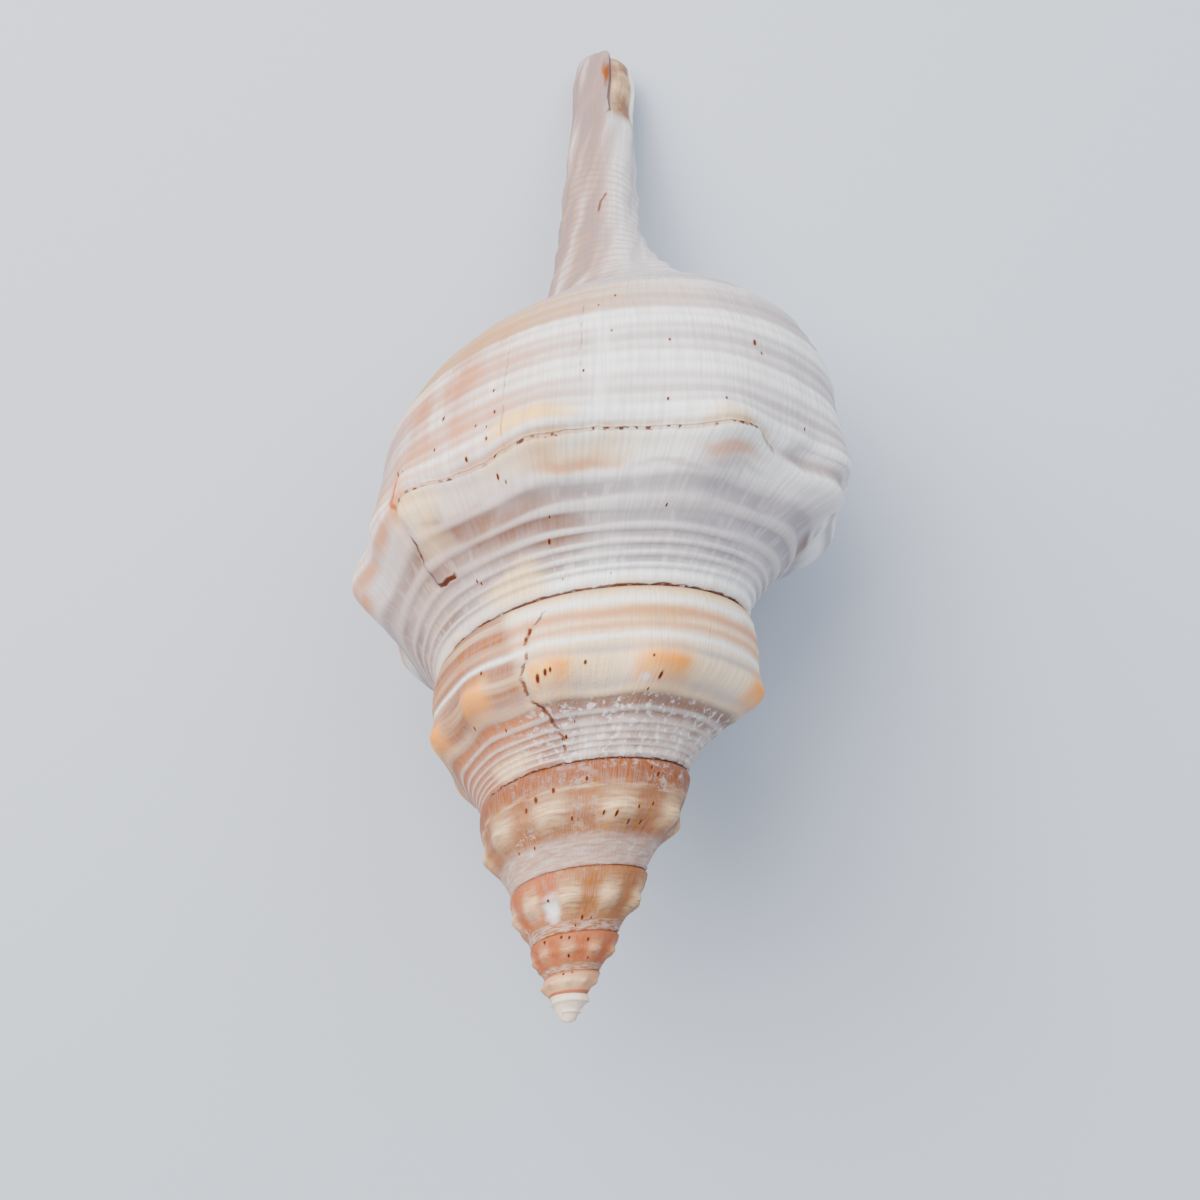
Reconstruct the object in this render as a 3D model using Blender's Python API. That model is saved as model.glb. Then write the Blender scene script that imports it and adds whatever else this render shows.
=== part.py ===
# Horse conch shell: one heavy, right-handed spindle shell, grown as a single piece.
# It lies on its open side, spire towards -Y and raised, siphonal canal towards +Y.
# The surface is one helical sheet. A place on it has a turn t (t * 360 is the azimuth
# round the axis, 0 on top, growing with age) and an outline place q, counted from the
# suture (0) over the shoulder (1) and the base (2 to 4) to the canal tip (6).
import math

import bmesh
import bpy
import numpy as np

for old in list(bpy.data.objects):
    bpy.data.objects.remove(old, do_unlink=True)

MM = 0.001
TAU = 2 * math.pi

# Growth per turn, along the axis and across it, and the age of the lip and of the apex.
GROW_ALONG = 1.669
GROW_ACROSS = 1.554
LIP_TURN = 0.585
APEX_TURN = -5.35

# Outline at turn 0: distance from the apex along the axis, and radius, in mm.
OUTLINE_Q = [0, .3, .65, .9, 1, 1.2, 1.45, 1.72, 2, 2.25, 2.5, 2.75, 3, 3.25, 3.5, 3.8,
             4.25, 4.8, 5.3, 5.75, 5.92, 5.97, 6]
OUTLINE_S = [58.6, 63.5, 69.5, 74, 76.6, 80.5, 86, 92, 98.2, 104.2, 109.8, 114.8, 119.4,
             124, 129, 136, 146, 160, 172.5, 183, 186.6, 187.4, 187.5]
OUTLINE_R = [23.8, 26.8, 32.2, 37, 39.4, 40.2, 40.2, 39.6, 37.6, 34.2, 29.4, 23.4, 17.4,
             12.9, 10.2, 8.6, 7.5, 6.65, 6.1, 5.6, 4.3, 2.2, 0]

# Pose: the axis runs from the raised apex down to the canal tip.
APEX_AT = (-5.522, -87.956, 76.25)
AXIS_DROP = math.radians(21.6)
AXIS_SWING = math.radians(1.4)

KNOBS_PER_TURN = 9
KNOB_FIRST = 30 / 360
KNOB_SHIFT_T = [-3, -2, -1, 0, .2, .34]
KNOB_SHIFT = [.1, .2, -.43, 0, 0, -.2]
KNOB_HEIGHT = .075
UNDER_KNOB = .035
CANAL_DROOP = 3.8

# Shell wall, mouth and canal.
WALL = 2.6
LIP_WALL = 1.7
GLAZE = .8
MOUTH_DEPTH = 1.9
CANAL_BORE = 2.9
CANAL_SLOT = 3.4
CANAL_SLOT_TURN = .63


def blend(low, high, x):
    u = np.clip((np.asarray(x, float) - low) / (high - low), 0, 1)
    return u * u * (3 - 2 * u)


def bell(x, width):
    return np.exp(-((x / width) ** 2))


def smooth_table(q, values):
    """Cubic through the outline points, with the slopes of their neighbours."""
    knots, values = np.array(OUTLINE_Q, float), np.array(values, float)
    slope = np.gradient(values, knots)
    i = np.clip(np.searchsorted(knots, q, side="right") - 1, 0, len(knots) - 2)
    h = knots[i + 1] - knots[i]
    u = np.clip((q - knots[i]) / h, 0, 1)
    return (values[i] * (1 + 2 * u) * (1 - u) ** 2 + slope[i] * h * u * (1 - u) ** 2
            + values[i + 1] * u * u * (3 - 2 * u) + slope[i + 1] * h * u * u * (u - 1))


def knob_wave(t):
    phase = KNOBS_PER_TURN * (t - KNOB_FIRST) + np.interp(t, KNOB_SHIFT_T, KNOB_SHIFT)
    return (.5 + .5 * np.cos(TAU * phase)) ** 1.5


def section(t, q):
    """Distance along the axis and radius of the outer surface, in mm."""
    t, q = np.broadcast_arrays(np.asarray(t, float), np.asarray(q, float))
    s, r = smooth_table(q, OUTLINE_S), smooth_table(q, OUTLINE_R)
    # The spire is slimmer below the shoulder than the last whorl.
    young = 1 - blend(-2, -.3, t)
    r = r * (1 - .12 * young * blend(0, .9, q) * (1 - blend(1.2, 2, q)))
    # Hollow flank behind the old lip on the left, and a flatter flank on the right.
    r = r - 4.2 * bell(t + .29, .13) * bell(q - 1.6, .45)
    r = r - 1.6 * blend(.05, .25, t) * bell(q - 1.6, .35)
    # Knobs on the shoulder, with a low fold running back over the ramp.
    knob = knob_wave(t) - .35
    under = blend(.25, .4, t)
    r = r * (1 + (KNOB_HEIGHT + UNDER_KNOB * under) * knob * bell(q - .97, .28))
    r = r * (1 + .012 * knob * blend(.1, .6, q) * (1 - blend(1.6, 2, q)))
    # Old break along the shoulder of the last whorl: a lifted ramp edge above a groove.
    break_run = blend(-.17, -.1, t) * (1 - blend(.2, .27, t))
    r = r + .55 * break_run * bell(q - .9, .06) - 1.0 * break_run * bell(q - 1.0, .035)
    # Old lip on the left: a thin rim and the deep recess beside it.
    r = r + .8 * bell(t + .175, .016) * bell(q - 1.1, .25)
    r = r - 1.6 * bell(t + .142, .013) * bell(q - 1.15, .2)
    # The grown-up lip flares a little, over a flank drawn in below the shoulder.
    r = r + 1.4 * blend(.5, .585, t) * bell(q - 1.7, .5) - 6.4 * under * bell(q - 2.2, .6)
    # The apex is blunt and worn.
    r = r * (1 + .3 * blend(-4.8, -5.3, t))
    # Growth fades out towards the canal, and slows down on the last half turn.
    slower = 1.15 * blend(.2, .48, t) * (t - .34) * blend(.1, .8, q)
    grown = (t - slower) * (1 - blend(2.2, 4.5, q))
    return s * GROW_ALONG ** grown, r * GROW_ACROSS ** grown


def axis_frame():
    a = np.array([math.sin(AXIS_SWING) * math.cos(AXIS_DROP),
                  math.cos(AXIS_SWING) * math.cos(AXIS_DROP), -math.sin(AXIS_DROP)])
    right = np.cross(a, [0, 0, 1])
    right /= np.linalg.norm(right)
    return a, right, np.cross(right, a)


def place(s, r, turn, side=0.0):
    """World point in mm of a place given by axis distance, radius and turn."""
    a, right, up = axis_frame()
    angle = TAU * np.asarray(turn, float)
    s, r = np.asarray(s, float), np.asarray(r, float)
    return (np.array(APEX_AT) + s[..., None] * a + (r * np.cos(angle))[..., None] * up
            + (r * np.sin(angle) + side)[..., None] * right)


def canal_side(q):
    """The canal stands a little to the right of the spire's axis."""
    return 1.2 * blend(2.7, 4.1, q) + 1.6 * bell(q - 3.05, .42)


def canal_droop(s):
    """The canal bends gently down to the ground."""
    return CANAL_DROOP * blend(110, 250, s) / .56


def lip_sweep(q):
    """The lip edge swings towards the canal slot on its way down."""
    return (CANAL_SLOT_TURN - LIP_TURN) * blend(2.1, 3.6, q)


def surface(t, q):
    t, q = np.broadcast_arrays(np.asarray(t, float), np.asarray(q, float))
    t = t + lip_sweep(q)
    s, r = section(t, q)
    point = place(s, r, t, canal_side(q))
    point[..., 2] -= canal_droop(s)
    point[..., 2] = np.maximum(point[..., 2], 0)
    return point



# Columns of points keep their phase from turn to turn; the upper side has more of them.
UPPER_PHASES = np.linspace(-.29, .29, 31)
LOWER_PHASES = np.linspace(.29, .71, 18)[1:-1]
ROWS_LAST = [0, .12, .35, .6, .78, .88, .94, .975, 1, 1.03, 1.08, 1.2, 1.4, 1.62, 1.85]
ROWS_BASE = [2.1, 2.28, 2.45, 2.65, 2.85, 3.05, 3.3, 3.55, 3.8, 4.1, 4.5, 4.9, 5.3, 5.65,
             5.82, 5.92, 5.97]
ROWS_SECOND = [0, .15, .4, .65, .85, .95, 1.03, 1.15, 1.35, 1.6, 1.85]
ROWS_THIRD = [0, .25, .6, .88, 1, 1.18, 1.5, 1.82]
ROWS_YOUNG = [0, .4, .85, 1.02, 1.4, 1.8]
MOUTH_TURN = round(LIP_TURN - 1, 6)
MERGE_Q = 4.9


def column_turns():
    """Turns of all columns from the apex to the lip, in rising order."""
    found = {round(LIP_TURN - k, 6) for k in range(7)}
    for number, phase in enumerate([*UPPER_PHASES, *LOWER_PHASES]):
        if abs((phase - LIP_TURN + .5) % 1 - .5) < .008:
            continue
        for turn in (round(whole + phase, 6) for whole in range(-7, 2)):
            # The youngest whorls need only every second column.
            if number % 2 == 0 or turn > LIP_TURN - 3:
                found.add(turn)
    return sorted(turn for turn in found if APEX_TURN < turn <= LIP_TURN)


def rows_at(turn):
    rows = [ROWS_LAST, ROWS_SECOND, ROWS_THIRD, ROWS_YOUNG]
    return rows[min(3, int(LIP_TURN - turn - 1e-5))] if turn > MOUTH_TURN else (
        rows[min(3, int(LIP_TURN - turn + 1e-5))] if turn < MOUTH_TURN else ROWS_LAST)


class Skin:
    """Points in mm and triangles of a closed skin."""

    def __init__(self):
        self.points, self.faces = [], []

    def point(self, where):
        self.points.append([float(x) for x in where])
        return len(self.points) - 1

    def zip(self, left, right):
        """Triangles between two lines of (key, point) with rising keys."""
        i = j = 0
        while i < len(left) - 1 or j < len(right) - 1:
            go_left = j == len(right) - 1 or (
                i < len(left) - 1 and left[i + 1][0] <= right[j + 1][0])
            face = [left[i][1], right[j][1], left[i + 1][1] if go_left else right[j + 1][1]]
            if len(set(face)) == 3:
                self.faces.append(face)
            i, j = (i + 1, j) if go_left else (i, j + 1)

    def loops(self, loops):
        """Closed tube through loops of equal length, with both ends closed."""
        rings = [[self.point(p) for p in loop] for loop in loops]
        n = len(rings[0])
        for one, two in zip(rings, rings[1:]):
            for k in range(n):
                m = (k + 1) % n
                self.faces += [[one[k], two[k], two[m]], [one[k], two[m], one[m]]]
        for ring, loop in ((rings[0], loops[0]), (rings[-1], loops[-1])):
            middle = self.point(np.mean(loop, axis=0))
            self.faces += [[ring[k], ring[(k + 1) % n], middle] for k in range(n)]

    def object(self, name):
        mesh = bpy.data.meshes.new(name)
        bm = bmesh.new()
        verts = [bm.verts.new([c * MM for c in p]) for p in self.points]
        for face in self.faces:
            bm.faces.new([verts[k] for k in face])
        bmesh.ops.recalc_face_normals(bm, faces=bm.faces)
        bm.to_mesh(mesh)
        bm.free()
        made = bpy.data.objects.new(name, mesh)
        bpy.context.scene.collection.objects.link(made)
        return made


def outer_skin():
    skin = Skin()
    turns = column_turns()
    seam = {turn: skin.point(surface(turn, 0)) for turn in turns}
    tip = skin.point(surface(0, 6))
    columns, merged = {}, {}
    for turn in turns:
        line = [(0.0, seam[turn])]
        line += [(q, skin.point(surface(turn, q))) for q in rows_at(turn)[1:]]
        if turn <= MOUTH_TURN:
            line.append((2.0, seam[round(turn + 1, 6)]))
        if turn >= MOUTH_TURN:
            for q in ROWS_BASE:
                # Down the canal the sheet comes round to meet its own start.
                if turn < LIP_TURN or q < MERGE_Q:
                    line.append((q, skin.point(surface(turn, q))))
                else:
                    line.append((q, merged[q]))
                if turn == MOUTH_TURN:
                    merged[q] = line[-1][1]
            line.append((6.0, tip))
        columns[turn] = line
    for one, two in zip(turns, turns[1:]):
        right = columns[two]
        if one < MOUTH_TURN:
            right = [entry for entry in right if entry[0] <= 2]
        skin.zip(columns[one], right)
        between = [seam[t] for t in turns if one + 1.00001 < t < two + .99999]
        if one < MOUTH_TURN and between:
            last = skin.faces.pop()
            ends = [columns[one][-1][1], right[-1][1]]
            corner = next(p for p in last if p not in ends)
            run = [ends[0], *between, ends[1]]
            skin.faces += [[corner, p, q] for p, q in zip(run, run[1:])]
    # The mouth is closed with a flat skin here; the hollow is cut through it below.
    lip = [(2.3 + q * 2.6 / MERGE_Q, p) for q, p in columns[turns[-1]] if q <= MERGE_Q]
    skin.zip(lip, [entry for entry in columns[MOUTH_TURN] if 2 <= entry[0] <= MERGE_Q])
    # The youngest whorl is closed over by the worn apex.
    around = [seam[turn] for turn in turns if turn < turns[0] + 1.00001]
    loop = around + [p for _, p in columns[turns[0]]][::-1][1:-1]
    apex = skin.point(place(.9, .2, 0))
    for p, q in zip(loop, loop[1:] + loop[:1]):
        skin.faces.append([p, q, apex])
    return skin


def hollow_loop(turn, wall, size=1.0):
    """Section of the inside of a whorl: its own wall outside, the older whorl within."""
    age = LIP_TURN - turn
    deep = .35 * blend(0, .5, age) + .5 * blend(.6, 1.6, age)
    wall = wall * (1 - .35 * blend(.8, 1.8, age))
    q = np.linspace(.3, 3.35 - deep, 11)
    s, r = section(turn, q)
    ds, dr = np.gradient(s), np.gradient(r)
    norm = np.hypot(ds, dr)
    outer = place(s + wall * dr / norm, r - wall * ds / norm, np.full(11, turn), canal_side(q))
    outer[:, 2] -= canal_droop(s)
    q = np.linspace(3.85 - deep, 2.35, 6)
    s, r = section(turn - 1, q)
    inner = place(s, r + GLAZE, np.full(6, turn), canal_side(q))
    inner[:, 2] -= canal_droop(s)
    loop = np.concatenate([outer, inner])
    return loop.mean(axis=0) + (loop - loop.mean(axis=0)) * size


def hollow():
    skin = Skin()
    turns = np.linspace(LIP_TURN + .055, LIP_TURN - MOUTH_DEPTH, 50)
    loops = []
    for turn in turns:
        wall = LIP_WALL + (WALL - LIP_WALL) * blend(.02, .12, LIP_TURN - turn)
        left = (turn - turns[-1]) / .1
        loops.append(hollow_loop(turn, wall, math.sqrt(min(1, .08 + .92 * left))))
    skin.loops(loops)
    return skin


def canal_frame(s):
    """Middle of the canal at s, with its sideways and outward directions at the slot."""
    q = np.interp(s, OUTLINE_S[12:], OUTLINE_Q[12:])
    here = place(s, 0, 0, canal_side(q)) - np.array([0, 0, canal_droop(s)])
    _, right, up = axis_frame()
    angle = TAU * CANAL_SLOT_TURN
    out = math.cos(angle) * up + math.sin(angle) * right
    side = -math.sin(angle) * up + math.cos(angle) * right
    return here, side, out


def canal_bore():
    skin = Skin()
    loops = []
    for s, size in ((131, .3), (135, .75), (140, 1), (152, 1), (165, .95), (178, .9), (192, .9)):
        here, side, out = canal_frame(s)
        loops.append([here + out * 1.2 + CANAL_BORE * size
                      * (math.cos(TAU * k / 10) * side + math.sin(TAU * k / 10) * out)
                      for k in range(10)])
    skin.loops(loops)
    return skin


def canal_slot():
    skin = Skin()
    loops = []
    for s, wide, low in ((120, 2.2, 9), (127, 1.8, 6.5), (134, 1.35, 3), (141, 1.1, .5),
                         (152, 1, 0), (165, 1, 0), (178, 1, 0), (192, 1, 0)):
        here, side, out = canal_frame(s)
        half = side * (CANAL_SLOT / 2 * wide)
        loops.append([here + half + out * low, here + half + out * 16,
                      here - half + out * 16, here - half + out * low])
    skin.loops(loops)
    return skin


def crack(path, width, depth):
    """Narrow wedge along a path of (turn, q) places, tapered at its ends."""
    skin = Skin()
    path = np.array(path, float)
    steps = np.linspace(0, len(path) - 1, 2 * len(path) - 1)
    t, q = (np.interp(steps, range(len(path)), path[:, k]) for k in (0, 1))
    p = surface(t, q)
    over = np.cross(surface(t + .004, q) - surface(t - .004, q),
                    surface(t, q + .02) - surface(t, q - .02))
    over /= np.linalg.norm(over, axis=1)[:, None]
    along = np.gradient(p, axis=0)
    side = np.cross(over, along)
    side /= np.linalg.norm(side, axis=1)[:, None]
    if np.mean(np.sum(over * (p - np.array(place(90, 0, 0))), axis=1)) < 0:
        over = -over
    loops = []
    for k in range(len(p)):
        size = .35 + .65 * math.sin(math.pi * (k + .5) / len(p)) ** .5
        half = width / 2 * size * (1 + .3 * math.sin(2.3 * k))
        loops.append([p[k] + over[k] * .5 + side[k] * half * 1.4,
                      p[k] + over[k] * .5 - side[k] * half * 1.4,
                      p[k] - over[k] * depth * size])
    skin.loops(loops)
    return skin


PENULTIMATE_CRACK = [(-1.034, 1.77), (-1.043, 1.62), (-1.051, 1.45), (-1.05, 1.27),
                     (-1.055, 1.13), (-1.056, .98), (-1.053, .86), (-1.037, .69),
                     (-1.024, .49), (-1.013, .22)]
TOE_CRACK = [(-.133, .93), (-.133, .74), (-.138, .63), (-.137, .48), (-.122, .45)]
PITS = [(.019, 2.16), (.008, 2.07), (.108, 1.74), (-.054, 1.49), (-.091, 1.46),
        (-.096, .33), (-.025, .41), (-.023, .55), (-1.03, .96), (-.931, 1.05),
        (-.925, .78), (-1.011, .33)]

shell = outer_skin().object("shell")
cutters = [hollow(), canal_bore(), canal_slot(),
           crack(PENULTIMATE_CRACK, 1.3, .8), crack(TOE_CRACK, .7, .6)]
cutters += [crack([(t - .004, q), (t, q + .01), (t + .004, q)], 1.3, .7) for t, q in PITS]
for number, skin in enumerate(cutters):
    cutter = skin.object(f"cutter_{number}")
    cutter.hide_render = True
    cutter.display_type = "WIRE"
    cut = shell.modifiers.new(f"cut_{number}", "BOOLEAN")
    cut.object = cutter
    cut.operation = "DIFFERENCE"
    cut.solver = "EXACT"

chalk = bpy.data.materials.new("shell_cream")
chalk.use_nodes = True
chalk.node_tree.nodes["Principled BSDF"].inputs["Base Color"].default_value = (.82, .7, .6, 1)
chalk.node_tree.nodes["Principled BSDF"].inputs["Roughness"].default_value = .55
shell.data.materials.append(chalk)
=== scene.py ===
import math

import bmesh
import bpy
import numpy as np
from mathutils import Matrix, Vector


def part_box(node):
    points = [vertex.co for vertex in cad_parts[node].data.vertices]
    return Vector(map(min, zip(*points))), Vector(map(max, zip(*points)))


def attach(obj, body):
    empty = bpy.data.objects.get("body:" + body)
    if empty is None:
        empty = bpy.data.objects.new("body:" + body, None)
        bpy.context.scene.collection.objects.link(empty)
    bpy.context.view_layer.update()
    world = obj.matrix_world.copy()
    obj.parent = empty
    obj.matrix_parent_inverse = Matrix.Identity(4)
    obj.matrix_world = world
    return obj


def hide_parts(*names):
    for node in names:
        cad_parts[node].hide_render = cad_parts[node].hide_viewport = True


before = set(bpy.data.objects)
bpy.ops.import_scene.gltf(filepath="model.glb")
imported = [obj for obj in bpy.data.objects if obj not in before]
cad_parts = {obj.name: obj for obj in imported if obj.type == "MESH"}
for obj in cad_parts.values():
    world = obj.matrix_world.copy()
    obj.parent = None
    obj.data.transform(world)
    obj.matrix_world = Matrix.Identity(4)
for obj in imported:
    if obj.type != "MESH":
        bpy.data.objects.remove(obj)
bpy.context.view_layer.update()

# Shell, its cutting pattern. The real shell is one sheet of chalky lime laid down at the lip, turn
# after turn, and worn at its ends. Every point of the sheet has a turn (azimuth / 360, 0 on top,
# growing with age) and a place across it: 0 at the suture, 1 at the shoulder, 2 to 4 over the
# base, 6 at the canal tip. The pattern holds those places only; growth gives them their form.
TAU = 2 * math.pi
LIP_TURN = .585
MOUTH_TURN = LIP_TURN - 1
YOUNGEST_TURN = -7.1
COLUMNS_PER_TURN = 240
LIP_COLUMNS = [0, .0012, .0026]
MOUTH_END = 3.35
TIP_END = 5.955
OUTLINE_Q = [0, .3, .65, .9, 1, 1.2, 1.45, 1.72, 2, 2.25, 2.5, 2.75, 3, 3.25, 3.5, 3.8,
             4.25, 4.8, 5.3, 5.75, 5.92, 5.97, 6]
OUTLINE_S = [58.6, 63.5, 69.5, 74, 76.6, 80.5, 86, 92, 98.2, 104.2, 109.8, 114.8, 119.4,
             124, 129, 136, 146, 160, 172.5, 183, 186.6, 187.4, 187.5]
OUTLINE_R = [23.8, 26.8, 32.2, 37, 39.4, 40.2, 40.2, 39.6, 37.6, 34.2, 29.4, 23.4, 17.4,
             12.9, 10.2, 8.6, 7.5, 6.65, 6.1, 5.6, 4.3, 2.2, 0]
WALL = 2.6
LIP_WALL = 1.7
LIP_ROUND = .005
GLAZE = .8
HOLLOW_TURNS = 1.9
BORE = 2.9
SLOT_HALF = 1.7
SLOT_DEPTH = 5.0
BORE_EDGE = .113
BORE_POINTS = 16


def smoothstep(low, high, x):
    u = np.clip((x - low) / (high - low), 0, 1)
    return float(u * u * (3 - 2 * u))


def outline(q, values):
    """Cubic through the outline points, with the slopes of their neighbours."""
    knots, values = np.array(OUTLINE_Q, float), np.array(values, float)
    slope = np.gradient(values, knots)
    i = np.clip(np.searchsorted(knots, q, side="right") - 1, 0, len(knots) - 2)
    h = knots[i + 1] - knots[i]
    u = np.clip((q - knots[i]) / h, 0, 1)
    return (values[i] * (1 + 2 * u) * (1 - u) ** 2 + slope[i] * h * u * (1 - u) ** 2
            + values[i + 1] * u * u * (3 - 2 * u) + slope[i + 1] * h * u * u * (u - 1))


def slot_turns(q):
    """How far each edge of the canal slot stands back from its middle, in turns."""
    half = SLOT_HALF * np.interp(q, [3, 3.4, 3.72, 4.03, 4.5], [2.2, 1.8, 1.35, 1.1, 1])
    return smoothstep(2.5, 3.1, q) * half / (TAU * float(outline(q, OUTLINE_R)))


def lip_ripple(turn, q):
    """The lip edge is a little uneven, where cords end in it."""
    near = smoothstep(LIP_TURN - .05, LIP_TURN, turn)
    return near * .0022 * (math.sin(9.3 * q) + .6 * math.sin(17.1 * q + 1)) * smoothstep(0, .3, q)


class Pattern:
    """Points with their places in growth, and faces whose corners keep turn, place and depth."""

    def __init__(self):
        self.first, self.second, self.third, self.share = [], [], [], []
        self.faces, self.corners = [], []

    def point(self, first, second=None, third=None, share=(0, 0, 0)):
        self.first.append(first)
        self.second.append(second or first)
        self.third.append(third or first)
        self.share.append(share)
        return len(self.first) - 1

    def face(self, *ends):
        if len({end[1] for end in ends}) == len(ends):
            self.faces.append([end[1] for end in ends])
            self.corners += [end[2] for end in ends]

    def zip(self, left, right):
        """Triangles between two lines of (key, point, corner) with rising keys."""
        i = j = 0
        while i < len(left) - 1 or j < len(right) - 1:
            go_left = j == len(right) - 1 or (
                i < len(left) - 1 and left[i + 1][0] <= right[j + 1][0])
            self.face(left[i], right[j], left[i + 1] if go_left else right[j + 1])
            i, j = (i + 1, j) if go_left else (i, j + 1)

    def mesh(self, name):
        mesh = bpy.data.meshes.new(name)
        flat = [(turn, q, 0) for turn, q, _ in self.first]
        mesh.from_pydata(flat, [], self.faces)
        for label, rows in (("first", self.first), ("second", self.second),
                            ("third", self.third), ("share", self.share)):
            layer = mesh.attributes.new(label, "FLOAT_VECTOR", "POINT")
            layer.data.foreach_set("vector", np.array(rows, np.float32).ravel())
        layer = mesh.attributes.new("place", "FLOAT_VECTOR", "CORNER")
        layer.data.foreach_set("vector", np.array(self.corners, np.float32).ravel())
        return mesh


def steps(low, high, count):
    return [round(float(q), 5) for q in np.linspace(low, high, count, endpoint=False)]


ROWS_LAST = steps(0, .84, 56) + steps(.84, 1.08, 18) + steps(1.08, 2, 30)
ROWS_BASE = steps(2, MOUTH_END, 34) + steps(MOUTH_END, 5.6, 26) + steps(5.6, TIP_END, 7) + [TIP_END]
ROWS_BY_WHORL = [ROWS_LAST, steps(0, .8, 32) + steps(.8, 2, 32), steps(0, 2, 44), steps(0, 2, 30),
                 steps(0, 2, 22), steps(0, 2, 12), steps(0, 2, 8), steps(0, 2, 6)]
phases = LIP_COLUMNS + [k / COLUMNS_PER_TURN for k in range(1, COLUMNS_PER_TURN)]
TURN = len(phases)
turns = [LIP_TURN - whorl - phase for whorl in range(8) for phase in phases]
turns = [turn for turn in turns if turn > YOUNGEST_TURN]
youngest = len(turns) - 1


def sheet_place(turn, q):
    """First place of a point on the outside: slot edges stand back, the lip edge is rounded."""
    back = slot_turns(q) if turn >= MOUTH_TURN - 1e-6 else 0
    there = MOUTH_TURN + back + (turn - MOUTH_TURN) * (1 - 2 * back) if back else turn
    near = max(0, 1 - (LIP_TURN - turn) / LIP_ROUND)
    return there + lip_ripple(turn, q), q, .35 * LIP_WALL * (1 - math.sqrt(1 - near * near))


pattern = Pattern()
seam = [pattern.point((turn, 0, 0)) for turn in turns]
columns = []
for number, turn in enumerate(turns):
    column = [(0.0, seam[number], (turn, 0, 0))]
    for q in ROWS_BY_WHORL[max(number - 1, 0) // TURN][1:]:
        column.append((q, pattern.point(sheet_place(turn, q)), (turn, q, 0)))
    if number >= TURN:
        column.append((2.0, seam[number - TURN], (turn, 2, 0)))
    if number <= TURN:
        for q in ROWS_BASE[1 if number == TURN else 0:]:
            column.append((q, pattern.point(sheet_place(turn, q)), (turn, q, 0)))
    columns.append(column)
for number in range(youngest, 0, -1):
    newer = columns[number - 1]
    if number > TURN:
        newer = [end for end in newer if end[0] <= 2]
    pattern.zip(columns[number], newer)

# The youngest whorl is closed over by a blunt worn cap.
APEX_PLACE = (-9.5, 1, .4)
apex_corner = (turns[youngest], 1, 0)
rim = [(seam[n], (turns[n], .3, 0)) for n in range(youngest, youngest - TURN - 1, -1)]
rim += [end[1:] for end in columns[youngest][::-1][1:-1]]
ring = rim
for part in (.3, .62, .85):
    inner = [(pattern.point(pattern.first[point], APEX_PLACE, None, (part, 0, 0)), apex_corner)
             for point, corner in rim]
    for k in range(len(rim)):
        m = (k + 1) % len(rim)
        pattern.face((0, *ring[k]), (0, *ring[m]), (0, *inner[m]), (0, *inner[k]))
    ring = inner
middle = (0, pattern.point(APEX_PLACE), apex_corner)
for k in range(len(rim)):
    pattern.face((0, *ring[k]), (0, *ring[(k + 1) % len(rim)]), middle)

# The canal is an open gutter: its inside runs from the lip's edge round to the older edge.
lip_line = [end for end in columns[0] if end[0] <= MOUTH_END]
old_line = [end for end in columns[TURN] if 2 <= end[0] <= MOUTH_END]
canal_rows = [q for q in ROWS_BASE if q >= MOUTH_END]
gutter = []
for q in canal_rows:
    lip = next(end for end in columns[0] if end[0] == q)
    old = next(end for end in columns[TURN] if end[0] == q)
    radius = float(outline(q, OUTLINE_R))
    bore = BORE * np.interp(q, [4, 5, TIP_END], [1, .95, .9])
    full = smoothstep(3.6, 4.3, q)
    depth = SLOT_DEPTH + (radius + bore - SLOT_DEPTH) * smoothstep(MOUTH_END, 4.1, q)
    arc = [lip]
    for k in range(1, BORE_POINTS):
        u = k / BORE_POINTS
        round_bore = BORE_EDGE + (k - 1) / (BORE_POINTS - 2) * (1 - 2 * BORE_EDGE)
        point = pattern.point(
            pattern.first[lip[1]], pattern.first[old[1]],
            (LIP_TURN - round_bore, q, radius - bore),
            ((1 - math.cos(math.pi * u)) / 2, depth * math.sin(math.pi * u) ** .6, full))
        arc.append((k, point, (LIP_TURN - round_bore, q, .03)))
    gutter.append(arc + [old])
for one, two in zip(gutter, gutter[1:]):
    for k in range(BORE_POINTS):
        pattern.face(one[k], two[k], two[k + 1], one[k + 1])
tip_outside = [(turns[n], *columns[n][-1][1:]) for n in range(TURN, -1, -1)]
tip_inside = [(end[2][0], *end[1:]) for end in gutter[-1][1:-1]][::-1]
pattern.zip(tip_outside, [tip_outside[0], *tip_inside, tip_outside[-1]])

# Inside of the whorl: lip edge, own wall, and the glazed older whorl on the other side.
depths = [0, .0006, .002, .0036, LIP_ROUND, .009, .015, .024, .036, .05, .068]
depths += np.linspace(.09, .9, 24).tolist() + np.linspace(.96, 1.86, 11).tolist()


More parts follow.
